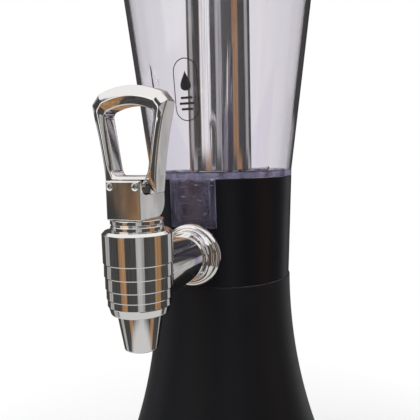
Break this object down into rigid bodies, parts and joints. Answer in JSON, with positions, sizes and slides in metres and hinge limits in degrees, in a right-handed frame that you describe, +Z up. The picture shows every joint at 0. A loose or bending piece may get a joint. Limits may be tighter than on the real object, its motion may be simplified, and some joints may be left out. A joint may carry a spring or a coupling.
{
  "type": "drink tower dispenser",
  "caption": "Table-top drink tower: a flared base and collar hold a clear tapered tank with an ice tube and lid, and a chromed self-closing tap with a tilting loop handle.",
  "frame": {"origin": "centre of the base pad's underside, on the table, under the tank's axis", "axes": "+Z up along the tank's axis, -Y towards the tap and the person who pours, +X to that person's right"},
  "size_m": [0.184, 0.2167, 0.533],
  "materials": {
    "base_black": "satin moulded plastic with a very fine grain",
    "tank_clear": "clear polished plastic, thick edges tinted violet and blue",
    "tap_chrome": "polished chrome plating",
    "screw_steel": "turned steel, bright",
    "tube_steel": "polished stainless steel",
    "seal_rubber": "soft moulded rubber",
    "lid_black": "satin black moulded plastic"
  },
  "bodies": {
    "tower": {"base_skirt": "base_black", "base_collar": "base_black", "bottom_plate": "base_black", "base_pad": "seal_rubber", "plate_screws": "screw_steel", "collar_screws": "screw_steel", "tank": "tank_clear", "tap_body": "tap_chrome", "tap_bonnet": "tap_chrome", "spout": "tap_chrome", "wall_flange": "tap_chrome", "flange_gasket": "seal_rubber", "tank_washer": "seal_rubber", "shank_nut": "screw_steel", "stem_ring": "seal_rubber", "spring_washer": "screw_steel", "return_spring": "screw_steel"},
    "stem": {"valve_stem": "screw_steel", "stem_pin": "screw_steel", "seat_cup": "seal_rubber"},
    "lever": {"tap_head": "tap_chrome", "handle_loop": "tap_chrome", "handle_screws": "screw_steel"},
    "lid": {"lid": "lid_black", "lid_seal": "seal_rubber"},
    "ice_tube": {"ice_tube": "tube_steel", "ice_tube_foot": "tube_steel"},
    "ice_cap": {"ice_tube_cap": "lid_black", "cap_ring": "seal_rubber"}
  },
  "joints": [
    {"name": "handle_tilt", "type": "hinge", "parent": "tower", "child": "lever", "pos_m": [0, -0.11925, 0.2299], "axis": [1, 0, 0], "range_deg": [0, 20], "stiffness_Nm_per_rad": 0.8, "springref_deg": -17.19},
    {"name": "stem_lift", "type": "slide", "parent": "tower", "child": "stem", "axis": [0, 0, 1], "range_m": [0, 0.0047], "deforming": ["return_spring"]},
    {"name": "lid_lift", "type": "slide", "parent": "tower", "child": "lid", "axis": [0, 0, 1], "range_m": [0, 0.28]},
    {"name": "ice_tube_lift", "type": "slide", "parent": "lid", "child": "ice_tube", "axis": [0, 0, 1], "range_m": [0, 0.28]},
    {"name": "ice_cap_lift", "type": "slide", "parent": "ice_tube", "child": "ice_cap", "axis": [0, 0, 1], "range_m": [0, 0.04]}
  ],
  "couplings": [
    {"joint": "stem_lift", "follows": "handle_tilt", "m_per_rad": 0.01335}
  ]
}
